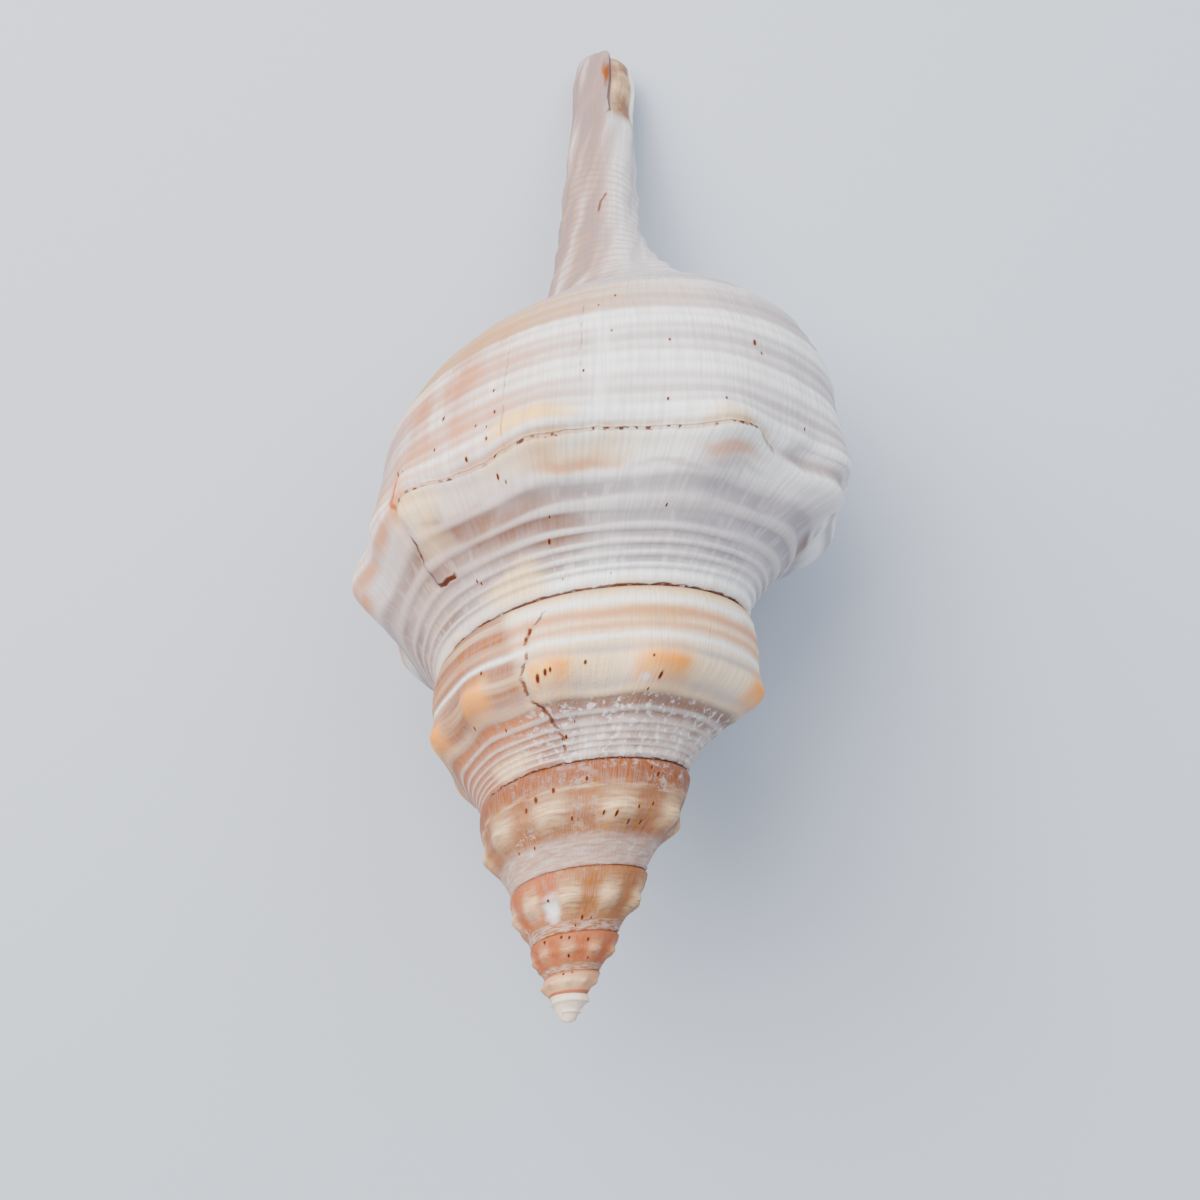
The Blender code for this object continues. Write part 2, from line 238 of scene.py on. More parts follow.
def hollow_loop(depth):
    """One loop of the lining: along the own wall, across the corner, back on the older whorl."""
    set_in = smoothstep(0, .05, depth)
    at_edge = 1 - set_in
    deep = .35 * smoothstep(0, .5, depth) + .5 * smoothstep(.6, 1.6, depth)
    edge = max(0, 1 - depth / LIP_ROUND)
    wall = LIP_WALL * (.35 + .65 * math.sqrt(1 - edge * edge))
    wall += (WALL - LIP_WALL) * smoothstep(.02, .12, depth)
    wall *= 1 - .35 * smoothstep(.8, 1.8, depth)
    own_low, own_high = .3 * set_in, MOUTH_END - deep
    old_low, old_high = 2 + .35 * set_in, MOUTH_END + .5 * set_in - deep
    loop = []
    for q, *_ in lip_line:
        at = own_low + (own_high - own_low) * q / MOUTH_END
        turn = LIP_TURN - depth + (lip_ripple(LIP_TURN, q) - slot_turns(q)) * at_edge
        thin = smoothstep(0, .05, q) if depth < LIP_ROUND * 3 else 1
        loop.append(((turn, at, wall * thin), None, (LIP_TURN - depth, at, depth + .001)))
    lip_end = loop[-1][0]
    back = []
    for q, *_ in old_line[::-1]:
        at = old_low + (old_high - old_low) * (q - 2) / (MOUTH_END - 2)
        turn = MOUTH_TURN - depth + slot_turns(q) * at_edge
        back.append(((turn, at, -GLAZE * smoothstep(0, .05, depth) + .01), None,
                     (MOUTH_TURN - depth, at, depth + .001)))
    old_start = back[0][0]
    for k in range(1, BORE_POINTS):
        u = k / BORE_POINTS
        dip = SLOT_DEPTH * math.sin(math.pi * u) * at_edge
        share = ((1 - math.cos(math.pi * u)) / 2, dip, 0)
        loop.append((lip_end, (old_start, share), (LIP_TURN - depth, own_high, depth + .03)))
    loop += back
    return loop


edge_loop = [end[1:] for end in lip_line] + [end[1:] for end in gutter[0][1:-1]]
edge_loop += [end[1:] for end in old_line[::-1]]
ring = edge_loop
for depth in depths[1:]:
    inner = []
    for first, across, corner in hollow_loop(depth):
        if across:
            inner.append((pattern.point(first, across[0], None, across[1]), corner))
        else:
            inner.append((pattern.point(first), corner))
    for k in range(len(ring)):
        m = (k + 1) % len(ring)
        if ring[k][0] == ring[m][0]:
            pattern.face((0, *ring[k]), (0, *inner[m]), (0, *inner[k]))
        else:
            pattern.face((0, *ring[k]), (0, *ring[m]), (0, *inner[m]), (0, *inner[k]))
    ring = inner
closing = (0, pattern.point((LIP_TURN - HOLLOW_TURNS, 1.4, 8)), ring[0][1])
for k in range(len(ring)):
    pattern.face((0, *ring[k]), (0, *ring[(k + 1) % len(ring)]), closing)

# Shell, its growth. The tree turns the flat pattern into the grown form: a section that widens
# by a fixed rate each turn along one axis, with nine knobs a turn, and the fine relief on it.
GROW_ALONG = 1.669
GROW_ACROSS = 1.554
APEX_AT = (-5.522, -87.956, 76.25)
AXIS_DROP = math.radians(21.6)
AXIS_SWING = math.radians(1.4)
SLOT_TURN = .63
KNOB_FIRST = 30 / 360
UNDER_KNOB = .035
CANAL_DROOP = 3.8
DROOP_AT_TIP = .56


class Value:
    """One output of a node. Arithmetic on it adds Math nodes, and node() adds any other kind."""

    def __init__(self, output):
        self.output = output
        self.tree = output.id_data

    def node(self, kind, settings=None, sockets=None, output=0):
        made = self.tree.nodes.new(kind)
        for name, setting in (settings or {}).items():
            if name == "points":
                curve = made.mapping.curves[0]
                for number, (x, y) in enumerate(setting):
                    spot = curve.points[number] if number < 2 else curve.points.new(x, y)
                    spot.location = (x, y)
                for spot in curve.points:
                    spot.handle_type = "VECTOR"
                made.mapping.update()
            else:
                setattr(made, name, setting)
        for name, value in (sockets or {}).items():
            if isinstance(value, Value):
                self.tree.links.new(value.output, made.inputs[name])
            else:
                made.inputs[name].default_value = value
        return Value(made.outputs[output])

    def also(self, name):
        return Value(self.output.node.outputs[name])

    def math(self, operation, *others, first=None):
        values = (self, *others) if first is None else (first, self)
        return self.node("ShaderNodeMath", {"operation": operation}, dict(enumerate(values)))

    def __add__(self, other):
        return self.math("ADD", other)

    def __sub__(self, other):
        return self.math("SUBTRACT", other)

    def __rsub__(self, other):
        return self.math("SUBTRACT", first=other)

    def __mul__(self, other):
        return self.math("MULTIPLY", other)

    def __truediv__(self, other):
        return self.math("DIVIDE", other)

    def __rtruediv__(self, other):
        return self.math("DIVIDE", first=other)

    def __pow__(self, other):
        return self.math("POWER", other)

    def __rpow__(self, other):
        return self.math("POWER", first=other)

    def __neg__(self):
        return self * -1

    __radd__, __rmul__ = __add__, __mul__


def blend(low, high, x):
    """0 below low and 1 above high, smooth between; low may be the larger."""
    return x.node("ShaderNodeMapRange", {"interpolation_type": "SMOOTHSTEP"},
                  {"Value": x, "From Min": low, "From Max": high})


def bell(x, width):
    y = x / width
    return (-(y * y)).math("EXPONENT")


def line(x, half):
    """1 on a thin line where x is 0, in the units of x."""
    return blend(half, half * .35, x.math("ABSOLUTE"))


def between(low, high, soft, x):
    return blend(low - soft, low + soft, x) * blend(high + soft, high - soft, x)


def track(x, places, values):
    """A line through given points: values over places."""
    low, high = min(values), max(values)
    span = (high - low) or 1
    points = [((a - places[0]) / (places[-1] - places[0]), (v - low) / span)
              for a, v in zip(places, values)]
    ends = [points[0], points[-1], *points[1:-1]]
    part = x.node("ShaderNodeMapRange", {"clamp": True},
                  {"Value": x, "From Min": places[0], "From Max": places[-1]})
    curve = x.node("ShaderNodeFloatCurve", {"points": ends}, {"Value": part})
    return curve * span + low


def noise(x, y, seed, detail=2.0):
    """Smooth noise from 0 to 1 over two values, such as turn and place across."""
    at = x.node("ShaderNodeCombineXYZ", None, {0: x, 1: y, 2: seed})
    return x.node("ShaderNodeTexNoise", None, {"Vector": at, "Scale": 1.0, "Detail": detail})


# Marks that both the relief and the colours follow, each in turn and place across.
SHOULDER_CRACK = ([-.137, -.122, -.108, -.078, -.045, -.014, .009, .042, .069, .105, .13, .161,
                   .19, .24],
                  [.92, .984, 1.007, .977, .97, .97, 1.009, .999, .976, 1.029, .967, .943,
                   .93, .93])
TOE_CRACK = ([.44, .48, .63, .74, .93], [-.137, -.138, -.1385, -.133, -.132])
TOE_END = ([-.139, -.130, -.124, -.117, -.110], [.475, .449, .458, .449, .485])
OLD_CRACK = ([.13, .28, .39, .49, .69, .83, .88, .98, 1.08, 1.18, 1.27, 1.45, 1.57, 1.71, 1.8],
             [-1.012, -1.015, -1.019, -1.025, -1.037, -1.052, -1.053, -1.056, -1.057, -1.054,
              -1.05, -1.051, -1.046, -1.037, -1.03])
RECESS_EDGE = ([.94, 1.0, 1.1, 1.2, 1.29], [-.131, -.137, -.1415, -.1415, -.138])
CANAL_CRACK = ([4.12, 4.24, 4.30, 4.36], [-.060, -.05, -.035, -.022])
TIP_SEAM = ([5.12, 5.2, 5.31, 5.55, 5.95], [-.042, -.013, -.027, -.015, -.02])
LAST_GIRTH = 250
OLD_GIRTH = 160
CANAL_GIRTH = 42
ACROSS_MM = 24


def shoulder_crack(t, q):
    """Distance in mm from the long crack that follows the shoulder, towards the canal."""
    kinks = noise(t * 70, 0, 4, 3) - .5
    return (q - track(t, *SHOULDER_CRACK)) * ACROSS_MM + kinks * .8


def toe_crack(t, q):
    kinks = noise(q * 14, 0, 5, 2) - .5
    return (t - track(q, *TOE_CRACK)) * LAST_GIRTH + kinks * .8


def old_crack(t, q):
    kinks = noise(q * 11, 0, 6, 3) - .5
    return (t - track(q, *OLD_CRACK)) * OLD_GIRTH + kinks * 1.6


def tip_seam(t, q):
    """Distance in mm from the seam where the canal's end is broken open."""
    return (t - track(q, *TIP_SEAM)) * CANAL_GIRTH


def canal_folds(t, q):
    """Slanting folds along the canal, from 0 to 1."""
    return noise(t * 11 - q * 1.5, q * 1.1, 33, 2)


def canal_ribs(t, q):
    """Close ribs that run round the base and the root of the canal, from -1 to 1."""
    return ((q * 15 + noise(t * 2, q, 21) * 1.4) * TAU).math("COSINE")


def ribs(t, q):
    """Narrow cords of the ramp, closer together towards the suture."""
    number = track(q, [0, .08, .25, .34, .44, .59, .78, .96], [-1, 0, 2, 3, 4, 5, 6, 7])
    drift = noise(t * 4, q * 4, 8, 3) * .7 - .35
    return (((number + drift) * TAU).math("COSINE") * .5 + .5) ** 1.4


def bands(t, q):
    """Broad low bands between the shoulder and the canal."""
    drift = noise(t * 2.5, q * 2, 9) * .5 - .25
    broad = (((q - 1.1) * 2.5 + drift) * TAU).math("COSINE") * .5 + .5
    narrow = ((q * 9.7 + drift * 2) * TAU).math("COSINE") * .5 + .5
    return broad * .62 + narrow * .38


growth = bpy.data.node_groups.new("shell growth", "GeometryNodeTree")
growth.interface.new_socket("Pattern", in_out="INPUT", socket_type="NodeSocketGeometry")
SIZES = {"Growth along": GROW_ALONG, "Growth across": GROW_ACROSS, "Knobs per turn": 9,
         "Knob height": .075, "Cord height": .3, "Band height": .5, "Growth line height": .26,
         "Fold height": .55, "Suture lip": .75, "Crack depth": .8, "Seed": 3}
for name in SIZES:
    growth.interface.new_socket(name, in_out="INPUT", socket_type="NodeSocketFloat")
growth.interface.new_socket("Shell", in_out="OUTPUT", socket_type="NodeSocketGeometry")
entry = growth.nodes.new("NodeGroupInput")
size = {name: Value(entry.outputs[name]) for name in SIZES}
start = Value(entry.outputs["Pattern"])
FINE_Q = np.linspace(0, 6, 121)


def named(label):
    """One stored place of the pattern, as its three parts."""
    spot = start.node("GeometryNodeInputNamedAttribute", {"data_type": "FLOAT_VECTOR"},
                      {"Name": label})
    parts = start.node("ShaderNodeSeparateXYZ", None, {"Vector": spot})
    return parts, parts.also("Y"), parts.also("Z")


def knob_wave(t, per_turn):
    """1 on a knob, 0 between two; the shift moves single knobs to where they stand."""
    shift = track(t, [-3, -2, -1.3, -1.2, -1.11, -1.03, -.92, -.74, -.6, 0, .2, .34],
                  [-.2, .1, -.24, -.387, -.224, -.007, .057, -.52, -.3, 0, 0, -.2])
    phase = (t - KNOB_FIRST) * per_turn + shift
    return ((phase * TAU).math("COSINE") * .5 + .5).math("MAXIMUM", 0) ** 1.5


def section(t, q):
    """Distance along the axis and radius of the outer surface, in mm."""
    s = track(q, FINE_Q.tolist(), outline(FINE_Q, OUTLINE_S).tolist())
    r = track(q, FINE_Q.tolist(), outline(FINE_Q, OUTLINE_R).tolist())
    flank = 1 - blend(1.6, 2, q)
    young = 1 - blend(-2, -.3, t)
    r = r * (1 - young * blend(0, .9, q) * (1 - blend(1.2, 2, q)) * .12)
    r = r - bell(t + .29, .13) * bell(q - 1.6, .45) * 4.2
    r = r - blend(.05, .25, t) * bell(q - 1.6, .35) * 1.6
    knob = knob_wave(t, size["Knobs per turn"]) - .35
    under = blend(.25, .4, t)
    tall = (size["Knob height"] + under * UNDER_KNOB) * blend(-5.5, -5.0, t)
    r = r * (1 + tall * knob * bell(q - .97, .28))
    r = r * (1 + knob * blend(.1, .6, q) * flank * .012)
    r = r + bell(t + .175, .016) * bell(q - 1.1, .25) * .8
    r = r - bell(t + .142, .013) * bell(q - 1.15, .2) * 1.6
    r = r + blend(.5, LIP_TURN, t) * bell(q - 1.7, .5) * 1.4 - under * bell(q - 2.2, .6) * 6.4
    r = r * (1 + blend(-4.8, -5.3, t) * (1 - blend(1.0, 1.9, q)) * .2)
    slower = blend(.2, .48, t) * (t - .34) * blend(.1, .8, q) * 1.15
    grown = (t - slower) * (1 - blend(2.2, 4.5, q))
    return s * size["Growth along"] ** grown, r * size["Growth across"] ** grown


axis = np.array([math.sin(AXIS_SWING) * math.cos(AXIS_DROP),
                 math.cos(AXIS_SWING) * math.cos(AXIS_DROP), -math.sin(AXIS_DROP)])
right = np.cross(axis, [0, 0, 1])
right /= np.linalg.norm(right)
up = np.cross(right, axis)


def on_shell(label, straight_in=True):
    """World point in mm of a named place (turn, across, depth under the surface)."""
    t, q, wall = named(label)
    t = t + blend(2.1, 3.6, q) * (SLOT_TURN - LIP_TURN)
    s, r = section(t, q)
    if straight_in:
        r = r - wall
    else:
        s_next, r_next = section(t, q + .01)
        ds, dr = s_next - s, r_next - r
        length = (ds * ds + dr * dr).math("SQRT").math("MAXIMUM", 1e-6)
        s, r = s + wall * dr / length, r - wall * ds / length
    side = blend(2.7, 4.1, q) * 1.2 + bell(q - 3.05, .42) * 1.6
    high, wide = r * (t * TAU).math("COSINE"), r * (t * TAU).math("SINE") + side
    x, y, z = (s * axis[k] + high * up[k] + wide * right[k] + APEX_AT[k] for k in range(3))
    droop = blend(110, 250, s) * (CANAL_DROOP / DROOP_AT_TIP)
    return start.node("ShaderNodeCombineXYZ", None, {0: x, 1: y, 2: z - droop})


def vector(operation, *values, output=0):
    return start.node("ShaderNodeVectorMath", {"operation": operation},
                      dict(enumerate(values)), output)


def scaled(value, scale):
    return start.node("ShaderNodeVectorMath", {"operation": "SCALE"},
                      {"Vector": value, "Scale": scale})


def mixed(factor, one, two):
    return start.node("ShaderNodeMix", {"data_type": "VECTOR"}, {0: factor, 4: one, 5: two}, 1)


across_share, dip, bore_share = named("share")
slot_out = up * math.cos(TAU * SLOT_TURN) + right * math.sin(TAU * SLOT_TURN)
spot = mixed(across_share, on_shell("first", False), on_shell("second"))
sunk = scaled(tuple(slot_out.tolist()), dip)
spot = mixed(bore_share, vector("SUBTRACT", spot, sunk), on_shell("third"))
formed = start.node("GeometryNodeSetPosition", None, {"Geometry": start, "Position": spot})

# Fine relief, laid on along the surface's own normal: cords, bands, growth lines and cracks.
turn, q, wall = named("first")
outside = 1 - blend(.05, .5, wall.math("ABSOLUTE"))
small = (1.75 ** turn).math("MINIMUM", 1.05)
last = blend(-.47, -.4, turn)
canal = blend(3.0, 3.6, q)
uneven = noise(turn * 9, q * 2.2, size["Seed"], 3) * 1.6
cords = ribs(turn, q) * between(.05, .8, .09, q) * size["Cord height"] * uneven
cords = cords * (blend(-1.9, -1.4, turn) * .8 + .2)
broad = bands(turn, q) * between(1.12, 3.4, .15, q) * size["Band height"]
low_ribs = canal_ribs(turn, q) * between(2.2, 4.8, .25, q) * (blend(2.9, 3.3, q) * .16 + .1)
flare = bell(q - 3.45, .4) * bell(turn - .2, .1) * 1.8
fine = noise(turn * 105, q * 1.6, 31, 3) - .5
wide_lines = noise(turn * 34, q * .8, 32, 2) - .5
grow_lines = (fine + wide_lines * 1.3) * size["Growth line height"] * (1 - canal * .5)
slant = canal_folds(turn, q) - .5
soft_fold = noise(q * 7, turn * 3, 34, 2) - .5
folds = canal * (slant * 2.2 + soft_fold * blend(4.9, 5.3, q) * 1.3) * size["Fold height"]
scallop = noise(turn * 26, 0, 35, 3) * 1.6
suture = bell(q - .05, .035) * scallop * size["Suture lip"]
suture = suture - (1 - last) * bell(q - 1.975, .03) * .45
relief = (cords + broad + low_ribs + grow_lines + suture) * small + folds + flare - .2

# The long crack lets the ramp stand a little proud; on the right it gapes under a lifted edge.
from_crack = shoulder_crack(turn, q)
crack_run = between(-.132, .225, .008, turn) * last
gape = between(.15, .232, .012, turn)
beyond = blend(-.15, .35, from_crack)
relief = relief + crack_run * bell(from_crack + .55, .8 + gape) * (gape * .7 + .3)
relief = relief - crack_run * beyond * bell(from_crack, 1.0 + gape * 3.0) * (gape * 1.7 + .5)

# The toe of the ramp overlaps the whorl on its left; the old crack is a narrow groove.
from_toe = toe_crack(turn, q)
toe_run = between(.46, .93, .03, q) * last
relief = relief + toe_run * blend(-.5, .8, from_toe) * bell(from_toe, 7) * .9
relief = relief - toe_run * bell(from_toe + .4, .9) * .5
recess = bell(turn + .1345, .0075) * bell(q - 1.12, .16)
relief = relief - recess
from_old = old_crack(turn, q)
old_run = between(.15, 1.78, .05, q) * between(-1.1, -.95, .03, turn)
relief = relief - old_run * bell(from_old, .7) * size["Crack depth"] * .7
relief = relief + old_run * bell(from_old - 1.6, 1.6) * .25

# The canal's end is broken back on its right, where the layers under it show.
from_seam = tip_seam(turn, q)
broken = between(-.01, .17, .012, turn) * blend(5.08, 5.3, q)
relief = relief - broken * .75 + blend(5.1, 5.3, q) * bell(from_seam + 1, 1.2) * .35
chip = between(-3.085, -3.035, .012, turn) * between(.3, 1.05, .08, q)
relief = (relief - chip * .35) * outside
normal = start.node("GeometryNodeInputNormal")
raised = scaled(normal, relief)
relieved = formed.node("GeometryNodeSetPosition", None, {"Geometry": formed, "Offset": raised})

# Millimetres to metres, and the worn flats where the shell rests on the ground.
LOW, HIGH = ([float(v) for v in corner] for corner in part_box("shell"))
INSET = .00005
position = start.node("GeometryNodeInputPosition")
metres = scaled(position, .001)
held = vector("MAXIMUM", metres, (LOW[0] + INSET, LOW[1] + INSET, 0))
held = vector("MINIMUM", held, tuple(v - INSET for v in HIGH))
sized = formed.node("GeometryNodeSetPosition", None, {"Geometry": relieved, "Position": held})

chalk = bpy.data.materials.new("shell chalk and glaze")
chalk.use_nodes = True
whole = formed.node("GeometryNodeRealizeInstances", None, {"Geometry": sized})
finished = formed.node("GeometryNodeSetMaterial", None, {"Geometry": whole, "Material": chalk})
leaving = growth.nodes.new("NodeGroupOutput")
growth.links.new(finished.output, leaving.inputs["Shell"])

flat = bpy.data.objects.new("shell pattern", pattern.mesh("shell pattern"))
bpy.context.scene.collection.objects.link(flat)
grow = flat.modifiers.new("growth", "NODES")
grow.node_group = growth
for item in growth.interface.items_tree:
    if item.in_out == "INPUT" and item.name in SIZES:
        grow[item.identifier] = float(SIZES[item.name])
grown = bpy.data.meshes.new_from_object(flat.evaluated_get(bpy.context.evaluated_depsgraph_get()))
bpy.data.objects.remove(flat)
shell = bpy.data.objects.new("horse_conch", grown)
bpy.context.scene.collection.objects.link(shell)
bm = bmesh.new()
bm.from_mesh(grown)
bmesh.ops.recalc_face_normals(bm, faces=bm.faces)
bm.to_mesh(grown)
bm.free()
grown.shade_smooth()
grown.set_sharp_from_angle(angle=math.radians(60))
for name in ("first", "second", "third", "share"):
    if name in grown.attributes:
        grown.attributes.remove(grown.attributes[name])
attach(shell, "root")
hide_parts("shell")

# Shell, its colours. Bone white under a thin skin of mauve and tan, rubbed through on the high
# places, orange in the older whorls, with cracks, worm holes and patches of bare chalk.
tree = chalk.node_tree
skin = tree.nodes["Principled BSDF"]


def tone(red, green, blue):
    """A colour as the eye reads it, 0 to 255, turned into light."""
    return (*(((v / 255 + .055) / 1.055) ** 2.4 for v in (red, green, blue)), 1)


def laid(under, over, amount):
    """One colour laid over another, as far as the amount says."""
    return amount.node("ShaderNodeMix", {"data_type": "RGBA"}, {0: amount, 6: under, 7: over}, 2)


WHITE = tone(246, 245, 245)
MAUVE = tone(164, 140, 142)
GREY_MAUVE = tone(146, 138, 147)
PINK_TAN = tone(206, 142, 102)
SALMON = tone(178, 100, 48)
BROWN_MAUVE = tone(130, 94, 76)
CREAM = tone(242, 206, 156)
BUTTER = tone(252, 200, 112)
ORANGE = tone(246, 150, 12)
DEEP_ORANGE = tone(164, 76, 0)
ORANGE_TAN = tone(132, 64, 0)
AMBER = tone(146, 82, 8)
UMBER = tone(128, 80, 42)
CHALK = tone(204, 184, 175)
RUST = tone(100, 40, 12)
DARK = tone(48, 24, 12)
STAIN = tone(188, 140, 78)
GLAZED = tone(236, 122, 54)

place = tree.nodes.new("ShaderNodeAttribute")
place.attribute_name = "place"
parts = Value(place.outputs["Vector"]).node("ShaderNodeSeparateXYZ", None,
                                            {"Vector": Value(place.outputs["Vector"])})
t, q, depth = parts, parts.also("Y"), parts.also("Z")
spot = Value(tree.nodes.new("ShaderNodeTexCoord").outputs["Object"])


def grain(scale, detail=3.0, rough=.6):
    """Noise in space, not along the growth, with blobs of about one over the scale in metres."""
    return spot.node("ShaderNodeTexNoise", None,
                     {"Vector": spot, "Scale": scale, "Detail": detail, "Roughness": rough})


wander_t = (noise(t * 22, q * 3, 41, 3) - .5) * .03
wander_q = (noise(t * 14, q * 2.5, 42, 3) - .5) * .5


def patch(turn, across, wide, tall):
    """A soft blotch with an uneven edge, its half sizes in turns and in place across."""
    x = (t + wander_t - turn) / wide
    y = (q + wander_q - across) / tall
    return blend(1.5, .3, (x * x + y * y).math("SQRT"))


def most(*amounts):
    top = amounts[0]
    for amount in amounts[1:]:
        top = top.math("MAXIMUM", amount)
    return top


last = blend(-.5, -.4, t)
third = between(-2.5, -1.5, .05, t)
fourth = between(-3.5, -2.5, .04, t)
oldest = blend(-3.45, -3.55, t)
left = blend(0, -.1, t)
far_left = blend(-.1, -.17, t)
right_side = blend(.04, .14, t)
striae = noise(t * 420, q * 2.2, 51, 3)
growth_streak = noise(t * 46, q * 1.1, 52, 4)
cloud = grain(55, 4)
fleck = grain(900, 2)
rib = ribs(t, q)
band = bands(t, q)

# Last whorl from the shoulder to the canal: white, with mauve and tan bands, pinker to the left.
body = laid(WHITE, MAUVE, blend(.95, .0, band) * .62 + .05)
# Painted shade: grey mauve in the darker bands on the right side, which turns away from the light.
body = laid(body, GREY_MAUVE, right_side * blend(.75, .1, band) * .3)
body = laid(body, PINK_TAN, blend(.03, -.09, t) * (blend(.3, .62, growth_streak) * .5 + .6)
            * blend(1.4, .0, band))
rosy = most(patch(-.1, 1.62, .035, .3), patch(-.075, 1.98, .03, .22),
            patch(-.13, 1.45, .03, .3) * .8)
body = laid(body, SALMON, rosy * (blend(.25, .7, growth_streak) * .6 + .15))
body = laid(body, MAUVE, far_left * between(1.35, 2.6, .15, q) * .75)
body = laid(body, CREAM, patch(-.16, 1.95, .05, .1) * .8)
rows = ((q * 9.2 + noise(t * 3, 0, 43) * .8) * TAU).math("SINE") * .5 + .5
top_rows = between(1.98, 2.45, .05, q)
body = laid(body, STAIN, top_rows * (rows * .4 + .45) * blend(.14, -.02, t))
body = laid(body, MAUVE, top_rows * (rows * .3 + .25) * right_side)
body = laid(body, GREY_MAUVE, blend(2.35, 2.7, q) * .6)
body = laid(body, WHITE, bell(t - .01 + wander_t * .3, .006) * between(1.05, 2.0, .1, q) * .5)
buttery = most(patch(-.03, 1.12, .026, .1), patch(.088, 1.08, .02, .07) * .6)
body = laid(body, BUTTER, buttery * .95)
body = laid(body, WHITE, patch(.02, 1.12, .012, .12) * .6)

# Canal: mauve and pink on the left, white on the ridge, a stained hollow at the broken end.
pipe_fold = canal_folds(t, q)
pipe = laid(WHITE, MAUVE, .3 + cloud * .25)
pipe = laid(pipe, PINK_TAN, blend(.04, -.08, t) * (blend(.62, .3, pipe_fold) * .5 + .35))
pipe = laid(pipe, MAUVE, (blend(4.75, 5.1, q) * .5 + .4) * blend(.03, -.08, t))
pipe = laid(pipe, BROWN_MAUVE, blend(.03, -.1, t) * (blend(.62, .35, pipe_fold) * .5 + .35))
pipe = laid(pipe, GREY_MAUVE, blend(.55, .35, pipe_fold) * .5)
pipe = laid(pipe, WHITE, blend(.55, .75, pipe_fold) * .5)
furrow = blend(0, -.8, canal_ribs(t, q)) * between(2.95, 4.7, .2, q)
pipe = laid(pipe, BROWN_MAUVE, furrow * blend(.3, .6, pipe_fold) * .32)
hollow = between(-.012, .17, .02, t) * blend(5.08, 5.25, q)
pipe = laid(pipe, laid(CREAM, UMBER, blend(.3, .65, grain(140, 3)) * .8 + .25), hollow * .95)
pipe = laid(pipe, ORANGE_TAN, patch(-.045, 5.62, .03, .1))
body = laid(body, pipe, blend(2.9, 3.3, q))

# Ramp of the last whorl: white cords with grey mauve between them, tan in patches on the left.
between_ribs = laid(GREY_MAUVE, BROWN_MAUVE,
                    blend(.04, -.05, t) * (blend(.3, .6, grain(80, 2)) * .6 + .4))
worn = noise(t * 13, q * 4, 55, 3)
net = most(rib * (1 - left * .3), line(growth_streak - .5, .05) * .4)
# Partly own mauve, partly painted shade: grey mauve at right and mauve across darken the ramp, which
# faces away from the light.
ramp = laid(WHITE, GREY_MAUVE, between(.42, .8, .08, q) * blend(-.02, .06, t) * .12)
ramp = laid(ramp, MAUVE, between(.2, .82, .1, q) * .5)
flush = laid(MAUVE, PINK_TAN, blend(.35, .65, cloud) * .7)
ramp = laid(ramp, flush, blend(0, -.08, t) * .5)
ramp = laid(ramp, between_ribs, blend(.8, .1, net) * (blend(.3, .65, worn) * .6 + .25)
            * between(.13, .74, .06, q))
shade = most(patch(-.05, .55, .04, .16), patch(-.085, .7, .026, .12), patch(-.02, .42, .03, .12),
             patch(.25, .7, .025, .16), patch(-.11, .75, .012, .16))
ramp = laid(ramp, BROWN_MAUVE, shade * blend(1.0, .3, net) * .95)
creamy = most(patch(-.01, .9, .05, .1), patch(-.12, .93, .02, .12),
              patch(-.118, .72, .014, .12) * .6, patch(-.06, .15, .03, .12))
ramp = laid(ramp, CREAM, creamy * .9)
ramp = laid(ramp, PINK_TAN, most(patch(.092, .92, .028, .06), patch(-.005, .87, .03, .06)) * .8)
ramp = laid(ramp, MAUVE, most(patch(.1, .84, .03, .03), patch(.06, .8, .03, .03)) * .5)
ramp = laid(ramp, CREAM, blend(.12, .02, q) * blend(.4, .6, noise(t * 30, 0, 56)) * .8)
ramp = laid(ramp, PINK_TAN, patch(-.235, .93, .018, .12))
shell_paint = laid(ramp, body, blend(-.7, .7, shoulder_crack(t, q)))
recess = most(bell(t + .136, .009) * bell(q - 1.12, .19), patch(-.131, 1.1, .009, .16) * .5)
shell_paint = laid(shell_paint, ORANGE, recess * last)

# Second whorl: cream and tan bands, orange knobs, brown mauve ramp dusted with chalk.
knob_here = knob_wave(t + wander_t * .5, SIZES["Knobs per turn"])
knob = blend(.15, .8, knob_here)
round_knob = blend(-.15, .8, knob_here)
across = q + (wander_q * .18)
cream_old = laid(WHITE, CREAM, cloud * 1.1 + .35)
upper = laid(cream_old, PINK_TAN, most(bell(across - 1.47, .05) * .8, bell(across - 1.63, .08)))
upper = laid(upper, STAIN, patch(-.94, 1.6, .05, .1) * .5)
upper = laid(upper, GREY_MAUVE, most(bell(across - 1.22, .06), bell(across - .88, .07)) * .6)
upper = laid(upper, BROWN_MAUVE, bell(across - .74, .07) * .75)
upper = laid(upper, ORANGE_TAN, blend(-1.045, -1.065, t + (q - 1) * .02) * blend(.65, .9, q)
             * (blend(.35, .65, noise(t * 5, q * 9, 57)) * .4 + .5))
knobs = bell(across - 1.04, .17) * knob
upper = laid(upper, laid(ORANGE, BUTTER, blend(.5, .75, grain(150, 2)) * .7), knobs)
raised_bands = most(bell(across - 1.36, .035),
                    bell(across - 1.78, .05) * blend(-1.08, -1.04, t))
upper = laid(upper, WHITE, raised_bands * .9)
lower = laid(BROWN_MAUVE, SALMON, blend(-1.0, -1.08, t) * .75)
lower = laid(lower, WHITE, blend(.3, 1.1, rib) * (.1 + worn * .5))
lower = laid(lower, CREAM, patch(-1.1, .2, .035, .18) * .9)
dusted = between(-1.02, -.72, .02, t + wander_t).math("MAXIMUM", .12)
dusted = dusted * blend(.62, .42, q + wander_q * .5)
lower = laid(lower, CHALK, dusted * (blend(.35, .6, grain(300, 3)) * .6 + .35))
lower = laid(lower, WHITE, blend(.54, .64, fleck) * blend(-1.12, -1.0, t) * .5)
